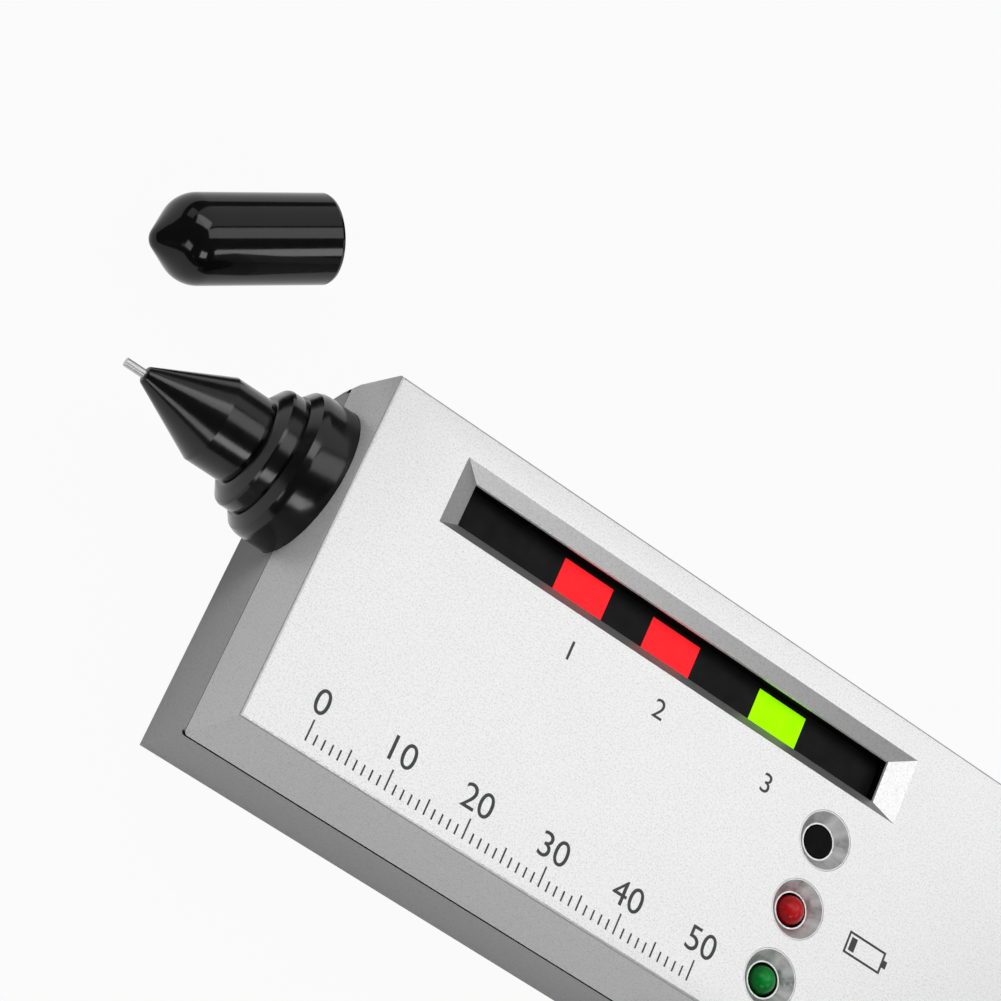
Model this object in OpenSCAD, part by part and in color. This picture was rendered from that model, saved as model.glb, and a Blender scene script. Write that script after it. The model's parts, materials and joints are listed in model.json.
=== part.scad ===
// Hand-held thermal gemstone tester with a sprung needle probe and a loose probe cap.
// Millimetres. The origin is at the middle of the underside. X runs from the probe to the tail,
// Y towards the display side and Z up.

/* [Housing] */
// Length at the parting line
body_l = 140; // [126:0.5:165]
// Width at the parting line
body_w = 43; // [38.7:0.1:52]
// Height
body_h = 24.4; // [21.9:0.1:29]
// Height of the parting line
parting_z = 13.4; // [12.6:0.1:14.4]
// Lean of each long side at the top and bottom faces
side_draft = 0.95; // [0.4:0.05:1.3]
// Lean of each end at the top and bottom faces
end_draft = 0.6; // [0.2:0.05:1]
// Wall thickness
wall = 2.2; // [2:0.1:2.6]
// Radius of the long and end edges
edge_r = 0.5; // [0.2:0.1:0.9]
// Radius of the upright corners
corner_r = 0.4; // [0.2:0.1:2]
// Height of the groove along the parting line on the long sides
groove_h = 0.5; // [0.1:0.05:0.7]
// Height of the groove along the parting line on the ends
end_groove_h = 0.15; // [0.1:0.05:0.4]
// Depth of the groove along the parting line
groove_d = 0.7; // [0.1:0.05:0.9]
// Height of the lip that locates the halves
lip_h = 1; // [0.6:0.1:1.6]
// Thickness of the lip
lip_t = 0.9; // [0.7:0.1:1.1]

/* [Result window] */
// Distance of the window's middle from the probe end
window_from_end = 42.74; // [42:0.1:48]
// Distance of the window's middle from the centre line
window_y = 13; // [12.4:0.1:13.6]
// Length of the opening in the face
window_l = 63.3; // [58:0.1:64]
// Width of the opening in the face
window_w = 8; // [7.4:0.1:8.6]
// Slope of the bevel at the ends
bevel_end = 2.6; // [2.2:0.1:3.2]
// Slope of the bevel at the sides
bevel_side = 1.45; // [1.2:0.05:1.7]
// Depth of the bevel
bevel_depth = 1.4; // [1:0.1:1.5]
// Thickness of the lip under the bevel
window_lip = 0.4; // [0.3:0.05:0.5]
// Depth of the lamp bar below the face
mask_depth = 3.4; // [3:0.1:4]
// Wall of the black liner
liner_t = 1; // [0.8:0.1:1.2]
// Length of each result lamp
lamp_l = 6.6; // [4:0.1:8]
// Width of each result lamp
lamp_w = 4.4; // [3:0.1:4.6]
// Distance of the first red lamp from the probe end
lamp_1_from_end = 30.6; // [24:0.1:33]
// Distance of the second red lamp from the probe end
lamp_2_from_end = 42.8; // [41.5:0.1:46]
// Distance of the green lamp from the probe end
lamp_3_from_end = 58; // [55:0.1:64]

/* [Lamps and button in the face] */
// Distance of the row from the probe end
row_from_end = 67.25; // [67:0.1:70]
// Distance of the button from the centre line
row_first_y = 2.88; // [1.8:0.1:3.4]
// Spacing in the row
row_pitch = 8.45; // [7.4:0.05:8.8]
// Diameter of the conical rings
ring_d = 6.6; // [6:0.1:7]
// Thickness of a ring at the face
ring_rim = 0.12; // [0.08:0.02:0.2]
// Depth of the cone
cone_depth = 1.35; // [1:0.05:1.45]
// Height of a ring
ring_h = 1.65; // [1.55:0.05:1.75]
// Hole in a ring
ring_hole_d = 3.8; // [3.5:0.05:4.1]
// Flat land round the hole
ring_land = 0.16; // [0.1:0.02:0.3]
// Diameter of a domed lamp
dome_d = 3.3; // [2.8:0.05:3.4]
// How far the widest part of the low battery lamp lies under the hole
low_lamp_drop = 0.35; // [0:0.05:1]
// How far the widest part of the ready lamp lies under the hole
ready_lamp_drop = 0.5; // [0:0.05:1]
// Height of a lamp's flange
lamp_flange_h = 1; // [0.8:0.1:1.2]
// Width of a lamp's flange beyond its dome
lamp_flange = 0.35; // [0.2:0.05:0.5]
// Travel of the button
button_travel = 0.6; // [0.3:0.05:0.7]
// Size of the switch under the button
switch_w = 6; // [5:0.1:6.4]
// Height of the switch body
switch_h = 2.2; // [2:0.1:2.4]
// Diameter of the switch plunger
plunger_d = 3; // [2.4:0.1:3.4]

/* [Board] */
// Distance of the board's front edge from the probe end
board_from_end = 12.7; // [12.2:0.1:14]
// Length of the board
board_l = 58; // [52:0.5:72]
// Thickness of the board
board_t = 1.6; // [1.2:0.1:1.7]
// Clear height between the board and the face
board_clear = 4.2; // [3.9:0.1:4.4]
// Distance of the front board screws from the board's edges
board_screw_in = 5.3; // [4.6:0.1:6.4]
// Distance of the rear board screw from the row of lamps
board_screw_to_row = 7.5; // [6.5:0.1:9]
// Distance of the chip's middle from the board's front edge
chip_at = 28.4; // [20:0.1:34]
// Distance of the sounder's middle from the board's front edge
sounder_at = 29.8; // [16:0.1:34]
// Distance of the chip and the sounder from the centre line
parts_side = 4.5; // [3:0.1:6]
// Diameter of the board posts
post_d = 4.8; // [4:0.1:5.4]
// Diameter of the board screws
board_screw_d = 2.1; // [1.6:0.1:2.4]
// Length of the chip
chip_l = 19.3; // [14:0.1:22]
// Width of the chip
chip_w = 6.4; // [5:0.1:7.4]
// Height of the chip with its legs
chip_h = 3.4; // [2.6:0.1:3.6]
// Diameter of the sounder
sounder_d = 12; // [9:0.1:14]
// Height of the sounder
sounder_h = 6.5; // [4:0.1:8]

/* [Thumbwheel] */
// Distance of the wheel from the probe end
wheel_from_end = 63; // [56:0.1:74.8]
// Diameter of the wheel
wheel_d = 16; // [14:0.1:19.4]
// Thickness of the wheel
wheel_t = 2.8; // [2.2:0.1:3]
// How far the wheel stands out of the side
wheel_out = 1.8; // [1.2:0.1:2.2]
// Number of flutes on the rim
wheel_flutes = 36; // [24:1:44]
// Diameter of a flute
flute_d = 0.9; // [0.5:0.1:1.1]
// Diameter of the shaft
shaft_d = 3; // [2.4:0.1:3.6]
// Diameter of the potentiometer
pot_d = 6.4; // [5.4:0.1:9.4]
// Height of the potentiometer
pot_h = 3; // [2.4:0.1:3.85]

/* [Case screws] */
// Diameter of the screws
case_screw_d = 2.4; // [2:0.1:2.6]
// Diameter of the screw heads
case_head_d = 3.8; // [3.2:0.1:3.9]
// Height of the screw heads
case_head_h = 1.6; // [1.2:0.1:2]
// Height of the seat under the screw heads
case_seat_z = 7; // [5:0.1:9]
// Length of the screws under the head
case_screw_l = 11; // [9:0.5:12]
// Wall of the screw bosses
boss_wall = 0.7; // [0.5:0.05:0.75]
// Distance of the front screws from the probe end
boss_front = 9; // [8.6:0.1:9.4]
// Distance of the rear screws from the probe end
boss_rear = 81; // [75:0.1:100]

/* [Battery] */
// Length of the battery block
battery_l = 46.4; // [46:0.1:46.8]
// Width of the battery block
battery_w = 26.5; // [25.5:0.1:26.7]
// Thickness of the battery block
battery_t = 17.2; // [15.5:0.1:17.7]
// Height of the battery terminals
terminal_h = 2; // [1.6:0.1:2.4]
// Spacing of the battery terminals
terminal_pitch = 12.7; // [12:0.1:13.4]
// Thickness of the snap connector
snap_t = 5.2; // [4.6:0.1:5.6]
// Height of the snap connector
snap_h = 12.6; // [11:0.1:13.4]
// Width of the door's side tongues
tongue_w = 0.8; // [0.5:0.05:1]
// Thickness of the door's side tongues
tongue_t = 0.6; // [0.4:0.05:0.7]
// Height of the tongues above the underside
tongue_z = 1; // [0.9:0.05:1.1]
// Gap beside the hooks at the tail
hook_gap = 0.75; // [0.5:0.05:1.2]
// Number of grip grooves on the door
grip_count = 6; // [3:1:8]

/* [Probe] */
// Distance of the probe from the centre line
probe_y = 9.35; // [8.8:0.05:9.6]
// Radius of the large collar ring
ring2_r = 8.7; // [8:0.05:9]
// Front of the large ring's rim
ring2_front = 3; // [2:0.1:3.6]
// Radius of the small collar ring
ring1_r = 7.05; // [6.6:0.05:7.4]
// Front of the collar
collar_front = 7.9; // [7.4:0.1:8.4]
// Depth of the seat in the end face
collar_seat = 0.7; // [0.5:0.05:0.8]
// Radius of the neck in the end wall
neck_r = 6; // [5.6:0.05:6.2]
// Radius of the flange inside the wall
flange_r = 7.5; // [7:0.1:7.8]
// Thickness of the flange inside the wall
flange_t = 1.8; // [1.2:0.1:2.2]
// Radius of the nose cylinder
nose_r = 5.05; // [4.9:0.05:5.2]
// Start of the cone
cone_start = 12.4; // [11.6:0.1:13]
// Front of the cone
cone_front = 21; // [20:0.1:22]
// Radius of the cone's front
cone_tip_r = 1.05; // [0.95:0.05:1.3]
// Rounding of the cone's front
cone_tip_round = 0.4; // [0.2:0.05:0.4]
// Radius of the nose spigot in the collar
spigot_r = 4.3; // [4:0.05:4.5]
// Radius of the spring chamber
chamber_r = 2.5; // [2.3:0.05:2.7]
// Front of the spring chamber
chamber_front = 15.5; // [14.8:0.1:15.8]
// Diameter of the needle
needle_d = 1; // [0.8:0.05:1.2]
// How far the needle stands out of the cone
needle_out = 2.35; // [1.8:0.05:3]
// Travel of the needle
needle_travel = 1.5; // [0.8:0.1:1.7]
// Length of the needle carrier
carrier_l = 6; // [5:0.1:6.6]
// Depth of the needle in its carrier
needle_grip = 2.6; // [2:0.1:3]
// Diameter of the sensor behind the needle
sensor_d = 2.2; // [1.6:0.1:2.6]
// Diameter of the spring wire
wire_d = 0.45; // [0.35:0.05:0.5]
// Number of spring turns
spring_turns = 9; // [6:1:10]
// Length of the plug inside the chamber
plug_l = 3.8; // [3:0.1:4.4]
// Radius of the plug's head
plug_head_r = 4; // [3.2:0.1:4.2]
// Thickness of the plug's head
plug_head_t = 1.5; // [1:0.1:1.8]
// Diameter of the probe leads
lead_d = 0.8; // [0.6:0.05:0.9]

/* [Probe cap] */
// Length of the cap
cap_l = 21; // [19:0.1:26]
// How much tighter the cap's bore is than the nose
cap_grip = 0.35; // [0.1:0.05:0.45]
// Wall of the cap
cap_wall = 0.35; // [0.25:0.05:0.8]
// Thickness of the cap's closed end behind its shoulder
cap_end_t = 2.6; // [2:0.1:3.2]
// Radius of the nub on the closed end
nub_r = 1.8; // [1:0.1:2.2]
// Rounding of the shoulder at the closed end
shoulder_r = 4; // [2.4:0.1:4.4]
// Distance of the shoulder from the tip of the nub
shoulder_at = 5.5; // [5:0.1:6.5]
// Rounding inside the closed end
cap_inner_r = 2.4; // [1.6:0.1:3]
// Distance of the cap's closed end from the probe end of the housing
cap_x = 24.9; // [24.5:0.1:40]
// Distance of the cap's closed end from the centre line
cap_y = 26.5; // [26:0.1:40]
// Angle of the cap to the tester
cap_angle = 34.4; // [25:0.1:60]

/* [Clearances] */
// Radial gap of located pieces
fit_gap = 0.05; // [0.03:0.01:0.08]
// Radial gap of turning and sliding pieces
run_gap = 0.08; // [0.05:0.01:0.1]
// Gap round pieces that slide by hand
slide_gap = 0.15; // [0.1:0.01:0.2]
// Gap of a piece that lies in its seat
seat_gap = 0.25; // [0.15:0.01:0.3]
// Gap of a cut round a wheel or a boss
clear_gap = 0.4; // [0.3:0.05:0.5]

/* [Hidden] */
$fn = 48;
eps = 0.01;
front_x = -body_l/2;
tail_x = body_l/2;
face_in = body_h - wall;
board_z1 = face_in - board_clear;
board_z0 = board_z1 - board_t;
board_x0 = front_x + board_from_end;
board_x1 = board_x0 + board_l;
board_w = body_w - 2*(wall + side_draft + seat_gap);
inner_w = body_w - 2*wall;

window_x = front_x + window_from_end;
strip_l = window_l - 2*bevel_end;
strip_w = window_w - 2*bevel_side;
liner_in = 0.2;
mask_top = body_h - mask_depth;
lamp_ends = [lamp_1_from_end, lamp_2_from_end, lamp_3_from_end];
liner_top = body_h - bevel_depth - window_lip;

row_x = front_x + row_from_end;
row_y = [row_first_y, row_first_y - row_pitch, row_first_y - 2*row_pitch];
hole_z = body_h - cone_depth;
ring_z = body_h - ring_h;
ring_pass_r = ring_d/2 - 0.9;
button_r = ring_hole_d/2 - run_gap;
button_flange_r = ring_pass_r - 2*run_gap;
button_flange_t = 0.9;
plunger_top = board_z1 + switch_h + button_travel + seat_gap/2;
plunger_deep = board_z1 + 0.3;

wheel_x = front_x + wheel_from_end;
wheel_y = -(body_w/2 + wheel_out - wheel_d/2);
wheel_z1 = board_z0 - pot_h - clear_gap;
wheel_z0 = wheel_z1 - wheel_t;
shaft_top = board_z0 - 1;

boss_r = case_head_d/2 + 2*run_gap + boss_wall;
boss_y = body_w/2 - wall - boss_r - seat_gap;
case_spots = [for (d = [boss_front, boss_rear]) for (m = [-1, 1]) [front_x + d, m*boss_y]];
board_spots = [[board_x0 + board_screw_in, -board_w/2 + board_screw_in],
               [board_x0 + board_screw_in, row_first_y],
               [row_x - board_screw_to_row, row_first_y]];
board_head_r = board_screw_d/2 + 0.85;
board_head_h = 1.3;

battery_x1 = tail_x - wall - end_draft - seat_gap;
battery_x0 = battery_x1 - battery_l;
battery_z0 = wall + 0.1;
battery_z = battery_z0 + battery_t/2;
snap_x1 = battery_x0 - 2*fit_gap;
snap_x0 = snap_x1 - snap_t;
stud_r = 2.9;
socket_r = 3.9;
door_x0 = snap_x0 - seat_gap;
door_half = battery_w/2 + slide_gap;
door_z0 = 0.1;
door_z1 = wall - 0.2;
lead_y = [4, 7];
snap_lead_r = 0.6;
lead_bend = 1.2;
lead_z = board_z0 - lead_bend - 0.8;
stop_h = 8;

hook_w = inner_w/2 - side_draft - battery_w/2 - 2*hook_gap;
hook_y = battery_w/2 + hook_gap + hook_w/2;
hook_t = 1.2;

pad_x = wall + 0.8;
pad_r = ring2_r + 0.3;
flange_u = -pad_x - flange_t;
carrier_r = chamber_r - run_gap;
carrier_u1 = chamber_front - fit_gap;
carrier_u0 = carrier_u1 - carrier_l;
needle_u1 = cone_front + needle_out;
needle_u0 = carrier_u1 - needle_grip;
sensor_l = carrier_l - needle_grip - 2*fit_gap;
plug_u1 = flange_u + plug_l;
stop_u = carrier_u0 - needle_travel - fit_gap;
stop_wall = 0.4;
spring_r = chamber_r - 0.35 - wire_d/2;
probe_socket_l = 5;

cap_bore_r = nose_r - cap_grip;
cap_r = cap_bore_r + cap_wall;
cap_floor = shoulder_at - shoulder_r + cap_end_t;

// Angle at which one straight line touches both the nub and the shoulder
nub_to_shoulder = [cap_r - shoulder_r, shoulder_at - nub_r];
cap_turn = atan2(nub_to_shoulder[1], nub_to_shoulder[0])
    - acos((nub_r - shoulder_r)/norm(nub_to_shoulder));

// Points of an arc in the plane
function arc(cx, cy, r, a0, a1, n) =
    [for (i = [0:n]) let (a = a0 + (a1 - a0)*i/n) [cx + r*cos(a), cy + r*sin(a)]];

// Outline of the housing seen along one axis: widest at the parting line, with rounded edges
function skin_outline(half, lean) =
    let (low = half - lean*(1 - edge_r/parting_z) - edge_r,
         high = half - lean*(1 - edge_r/(body_h - parting_z)) - edge_r,
         right = concat(arc(low, edge_r, edge_r, -90, 0, 4), [[half, parting_z]],
                        arc(high, body_h - edge_r, edge_r, 0, 90, 4)))
    concat(right, [for (i = [len(right) - 1:-1:0]) [-right[i][0], right[i][1]]]);

// Outline of the hollow inside it
function hollow_outline(half, lean) =
    let (low = half - lean*(1 - wall/parting_z),
         high = half - lean*(1 - wall/(body_h - parting_z)))
    [[low, wall], [half, parting_z], [high, face_in],
     [-high, face_in], [-half, parting_z], [-low, wall]];

function rounded_outline(l, w, r) =
    concat(arc(l/2 - r, w/2 - r, r, 0, 90, 4), arc(-l/2 + r, w/2 - r, r, 90, 180, 4),
           arc(-l/2 + r, -w/2 + r, r, 180, 270, 4), arc(l/2 - r, -w/2 + r, r, 270, 360, 4));

module along_x(l) {
    rotate([90, 0, 90]) linear_extrude(l, center = true) children();
}

module along_y(w) {
    rotate([90, 0, 0]) linear_extrude(w, center = true) children();
}

module box(x0, x1, y0, y1, z0, z1) {
    translate([x0, y0, z0]) cube([x1 - x0, y1 - y0, z1 - z0]);
}

module tube_block(l, w, h) {
    translate([-l/2, -w/2, 0]) cube([l, w, h]);
}

// The whole housing as one body with leaning sides
module skin() {
    intersection() {
        along_x(body_l + 2) polygon(skin_outline(body_w/2, side_draft));
        along_y(body_w + 2) polygon(skin_outline(body_l/2, end_draft));
        linear_extrude(body_h) polygon(rounded_outline(body_l, body_w, corner_r));
    }
}

module hollow() {
    intersection() {
        along_x(body_l) polygon(hollow_outline(body_w/2 - wall, side_draft));
        along_y(body_w) polygon(hollow_outline(body_l/2 - wall, end_draft));
    }
}

module half_space(z0, z1) {
    box(-body_l, body_l, -body_w, body_w, z0, z1);
}

// Frame along the walls at the parting line, used for the lip and its rebate
module lip_frame(grow, z0, z1) {
    l = body_l - 2*wall + 2*grow;
    w = body_w - 2*wall + 2*grow;
    translate([0, 0, z0]) tube_block(l, w, z1 - z0);
}

// Groove of the parting line on one long side, its floor sloping inwards
module side_groove() {
    z0 = parting_z - groove_h;
    along_x(body_l + 2)
        polygon([[body_w/2 + 1, z0], [body_w/2, z0], [body_w/2 - groove_d, z0 - groove_d],
                 [body_w/2 - groove_d, parting_z + 1], [body_w/2 + 1, parting_z + 1]]);
}

// Places a revolved piece on the probe's axis, with its own Z pointing out of the end face
module on_probe() {
    translate([front_x, probe_y, parting_z]) rotate([0, -90, 0]) children();
}

module probe_pad() {
    on_probe() translate([0, 0, -pad_x]) cylinder(r = pad_r, h = pad_x - wall/2);
}

module probe_opening() {
    on_probe() {
        translate([0, 0, -pad_x - 1]) cylinder(r = neck_r + fit_gap, h = pad_x + 2);
        translate([0, 0, -collar_seat]) cylinder(r = ring2_r + fit_gap, h = collar_seat + 2);
    }
}

module wheel_slot() {
    z0 = wheel_z0 - clear_gap;
    z1 = max(wheel_z1 + clear_gap, parting_z);
    translate([wheel_x, wheel_y, z0]) cylinder(r = wheel_d/2 + clear_gap, h = z1 - z0);
}

// Bevelled opening: the meeting of two tapered prisms
module window_bevel() {
    over = 0.5;
    rise = over/bevel_depth;
    z0 = body_h - bevel_depth;
    intersection() {
        translate([window_x, window_y, 0]) along_x(window_l + 4)
            polygon([[-strip_w/2, z0], [strip_w/2, z0],
                     [window_w/2 + bevel_side*rise, body_h + over],
                     [-window_w/2 - bevel_side*rise, body_h + over]]);
        translate([window_x, window_y, 0]) along_y(window_w + 4)
            polygon([[-strip_l/2, z0], [strip_l/2, z0],
                     [window_l/2 + bevel_end*rise, body_h + over],
                     [-window_l/2 - bevel_end*rise, body_h + over]]);
    }
}

module window_cut() {
    window_bevel();
    translate([window_x, window_y, face_in - 1])
        tube_block(strip_l, strip_w, wall + 1 - bevel_depth + eps);
    translate([window_x, window_y, board_z1])
        tube_block(strip_l + 2*(liner_in + liner_t + fit_gap),
                   strip_w + 2*(liner_in + liner_t + fit_gap), liner_top - board_z1);
}

module front_shell() {
    color("silver") difference() {
        union() {
            difference() {
                intersection() { skin(); half_space(parting_z, body_h); }
                hollow();
            }
            // Lip that drops inside the lower half, left out where the probe pad stands
            difference() {
                lip_frame(lip_t, parting_z - lip_h, parting_z + 0.6);
                lip_frame(0, parting_z - lip_h - 1, parting_z + 1);
                box(front_x, front_x + wall + 1, probe_y - pad_r - clear_gap,
                    probe_y + pad_r + clear_gap, 0, parting_z);
            }
            intersection() { probe_pad(); skin(); half_space(parting_z, body_h); }
            for (s = case_spots)
                translate([s[0], s[1], parting_z]) cylinder(r = boss_r, h = face_in - parting_z + eps);
            for (s = board_spots)
                translate([s[0], s[1], board_z1]) cylinder(d = post_d, h = board_clear + eps);
            // Ribs that keep the battery down
            for (k = [0.25, 0.75])
                box(battery_x0 + k*battery_l - 0.8, battery_x0 + k*battery_l + 0.8,
                    -battery_w/2, battery_w/2, battery_z0 + battery_t + seat_gap, body_h - wall/2);
        }
        window_cut();
        for (y = row_y) translate([row_x, y, 0]) {
            translate([0, 0, ring_z]) cylinder(r = ring_d/2 + fit_gap, h = ring_h + 1);
            translate([0, 0, face_in - 1]) cylinder(r = ring_pass_r, h = wall);
        }
        for (s = case_spots)
            translate([s[0], s[1], parting_z - 1])
                cylinder(r = case_screw_d/2 + fit_gap,
                         h = case_seat_z + case_screw_l - parting_z + 2);
        for (s = board_spots)
            translate([s[0], s[1], board_z1 - 1])
                cylinder(r = board_screw_d/2 + fit_gap, h = board_clear);
        probe_opening();
        wheel_slot();
        for (m = [-1, 1])
            translate([tail_x - wall - 0.6, m*hook_y - hook_w/2 - 0.3, parting_z + 1.8])
                cube([1.2, hook_w + 0.6, 1.2]);
    }
}

module rear_shell() {
    color("gray") difference() {
        union() {
            difference() {
                intersection() { skin(); half_space(0, parting_z); }
                hollow();
                lip_frame(lip_t + slide_gap, parting_z - lip_h - slide_gap, parting_z + 1);
                // Fine groove along the outside of the parting line, undercut on the long sides
                for (m = [0, 1]) mirror([0, m, 0]) side_groove();
                for (m = [-1, 1])
                    translate([m*body_l/2, 0, parting_z - end_groove_h]) tube_block(2*groove_d, body_w + 2, 1);
            }
            intersection() { probe_pad(); skin(); half_space(0, parting_z); }
            for (s = case_spots) translate([s[0], s[1], wall - eps])
                cylinder(r = boss_r, h = parting_z - wall + eps);
            // Rails beside the battery door and a stop in front of the snap connector
            for (m = [-1, 1])
                translate([door_x0, m*(door_half + 0.9) - 0.8, wall - eps])
                    cube([battery_x1 - door_x0, 1.6, 1.1]);
            box(door_x0 - 1.2, door_x0 - seat_gap, -battery_w/2, battery_w/2, wall - eps, wall + stop_h);
            // Stiffening ribs under the board
            for (k = [0.3, 0.6])
                box(board_x0 + k*board_l - 0.6, board_x0 + k*board_l + 0.6,
                    -inner_w/2 + 0.8, inner_w/2 - 0.8, wall - eps, wall + 1.4);
            // Hooks that hold the tail of the front half
            for (m = [-1, 1]) translate([tail_x - wall - 0.4 - hook_t, m*hook_y - hook_w/2, 0]) {
                translate([0, 0, wall - eps]) cube([hook_t, hook_w, parting_z + 3.2 - wall]);
                translate([0, 0, wall - eps]) cube([hook_t + 0.8, hook_w, parting_z - lip_h - 1 - wall]);
                translate([hook_t - eps, 0, parting_z + 2]) cube([0.5, hook_w, 0.8]);
            }
        }
        for (s = case_spots) translate([s[0], s[1], 0]) {
            translate([0, 0, -1]) cylinder(r = case_head_d/2 + 2*run_gap, h = case_seat_z + 1);
            cylinder(r = case_screw_d/2 + slide_gap, h = parting_z + 1);
        }
        probe_opening();
        wheel_slot();
        // Battery opening, its grooves and the way out through the tail
        box(door_x0, tail_x - wall - end_draft, -door_half, door_half, -1, wall + 2);
        box(door_x0, tail_x + 1, -door_half, door_half, -1, door_z1 + slide_gap);
        box(door_x0, tail_x + 1, -door_half - tongue_w - slide_gap, door_half + tongue_w + slide_gap,
            tongue_z - slide_gap, tongue_z + tongue_t + slide_gap);
    }
}

// Black liner between the board and the lip of the window
module display_bezel() {
    color("black") translate([window_x, window_y, board_z1]) difference() {
        tube_block(strip_l + 2*(liner_in + liner_t), strip_w + 2*(liner_in + liner_t),
                   liner_top - board_z1);
        translate([0, 0, -1]) tube_block(strip_l + 2*liner_in, strip_w + 2*liner_in, body_h);
    }
}

module display_mask() {
    color("dimgray") difference() {
        translate([window_x, window_y, board_z1])
            tube_block(strip_l + 2*liner_in - 2*fit_gap, strip_w + 2*liner_in - 2*fit_gap,
                       mask_top - board_z1);
        for (d = lamp_ends) translate([front_x + d, window_y, board_z1 - 1])
            tube_block(lamp_l + 2*fit_gap, lamp_w + 2*fit_gap, body_h);
    }
}

module result_lamp(d) {
    translate([front_x + d, window_y, board_z1]) tube_block(lamp_l, lamp_w, mask_top - board_z1);
}

module result_lamp_red_left() {
    color("red") result_lamp(lamp_1_from_end);
}

module result_lamp_red_middle() {
    color("red") result_lamp(lamp_2_from_end);
}

module result_lamp_green() {
    color("lime") result_lamp(lamp_3_from_end);
}

// Conical ring seated in the face
module cone_ring(y) {
    translate([row_x, y, 0]) rotate_extrude()
        polygon([[ring_hole_d/2, ring_z], [ring_d/2, ring_z], [ring_d/2, body_h - 0.03],
                 [ring_d/2 - ring_rim, body_h - 0.03], [ring_hole_d/2 + ring_land, hole_z],
                 [ring_hole_d/2, hole_z]]);
}

module button_bezel() {
    color("lightgray") cone_ring(row_y[0]);
}

module low_battery_bezel() {
    color("lightgray") cone_ring(row_y[1]);
}

module ready_bezel() {
    color("lightgray") cone_ring(row_y[2]);
}

module test_button() {
    flange_z1 = ring_z - fit_gap;
    color("black") translate([row_x, row_y[0], 0]) rotate_extrude()
        polygon([[0, plunger_top], [plunger_d/2 - 0.2, plunger_top],
                 [plunger_d/2 - 0.2, flange_z1 - button_flange_t],
                 [button_flange_r, flange_z1 - button_flange_t], [button_flange_r, flange_z1],
                 [button_r, flange_z1], [button_r, hole_z - 0.12], [button_r - 0.12, hole_z],
                 [0, hole_z]]);
}

module switch_plunger() {
    color("white") translate([row_x, row_y[0], plunger_deep + button_travel + seat_gap])
        cylinder(d = plunger_d, h = plunger_top - plunger_deep - button_travel - seat_gap);
}

module tact_switch() {
    color("darkslategray") difference() {
        translate([row_x, row_y[0], board_z1]) tube_block(switch_w, switch_w, switch_h);
        translate([row_x, row_y[0], plunger_deep]) cylinder(r = plunger_d/2 + run_gap, h = switch_h);
    }
}

// Domed lamp on two legs
module domed_lamp(y, drop) {
    equator = hole_z - drop;
    flange_z0 = equator - 3.2;
    translate([row_x, y, 0]) {
        rotate_extrude()
            polygon(concat([[0, flange_z0], [dome_d/2 + lamp_flange, flange_z0],
                            [dome_d/2 + lamp_flange, flange_z0 + lamp_flange_h],
                            [dome_d/2, flange_z0 + lamp_flange_h]],
                           arc(0, equator, dome_d/2, 0, 90, 8)));
        for (m = [-1, 1]) translate([m*1.27 - 0.25, -0.25, board_z1])
            cube([0.5, 0.5, flange_z0 - board_z1 + eps]);
    }
}

module low_battery_lamp() {
    color("darkred") domed_lamp(row_y[1], low_lamp_drop);
}

module ready_lamp() {
    color("darkgreen") domed_lamp(row_y[2], ready_lamp_drop);
}

module circuit_board() {
    color("seagreen") difference() {
        box(board_x0, board_x1, -board_w/2, board_w/2, board_z0, board_z1);
        // Notches round the screw bosses, open to the board's long edges
        for (s = case_spots) {
            out = s[1] > 0 ? 1 : -1;
            translate([s[0], s[1], board_z0 - 1]) cylinder(r = boss_r + seat_gap, h = board_t + 2);
            translate([s[0], s[1] + out*board_w/4, board_z0 + board_t/2])
                cube([2*(boss_r + seat_gap), board_w/2, board_t + 2], center = true);
        }
        for (s = board_spots) translate([s[0], s[1], board_z0 - 1])
            cylinder(r = board_screw_d/2 + slide_gap, h = board_t + 2);
    }
}

module board_screws() {
    color("gainsboro") for (s = board_spots) translate([s[0], s[1], board_z0]) {
        translate([0, 0, -board_head_h]) cylinder(r = board_head_r, h = board_head_h);
        translate([0, 0, -eps]) cylinder(d = board_screw_d, h = board_t + board_clear - 1.6);
    }
}

module case_screws() {
    color("gainsboro") for (s = case_spots) translate([s[0], s[1], case_seat_z]) {
        translate([0, 0, -case_head_h]) cylinder(d = case_head_d, h = case_head_h);
        translate([0, 0, -eps]) cylinder(d = case_screw_d, h = case_screw_l);
    }
}

module control_chip() {
    leg = 0.5;
    rise = 0.6;
    color("black") translate([board_x0 + chip_at, -parts_side, board_z1]) {
        translate([0, 0, rise]) tube_block(chip_l, chip_w, chip_h - rise);
        for (m = [-1, 1]) for (i = [-3:3])
            translate([i*2.54 - leg/2, m*(chip_w/2 + leg/2) - leg/2 - m*eps, 0])
                cube([leg, leg, rise + 1]);
    }
}

module sounder() {
    color("black") translate([board_x0 + sounder_at, -parts_side, board_z0 - sounder_h]) difference() {
        cylinder(d = sounder_d, h = sounder_h);
        translate([0, 0, -1]) cylinder(d = 2, h = 2.2);
    }
}

// Fluted wheel under the board, its rim out of the slot in the near side
module thumbwheel() {
    color("black") translate([wheel_x, wheel_y, wheel_z0]) linear_extrude(wheel_t) difference() {
        circle(d = wheel_d);
        for (i = [0:wheel_flutes - 1]) rotate(i*360/wheel_flutes)
            translate([wheel_d/2, 0]) circle(d = flute_d, $fn = 24);
        circle(r = shaft_d/2 + 0.02);
    }
}

module wheel_shaft() {
    color("silver") translate([wheel_x, wheel_y, wheel_z0]) cylinder(d = shaft_d, h = shaft_top - wheel_z0);
}

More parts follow.
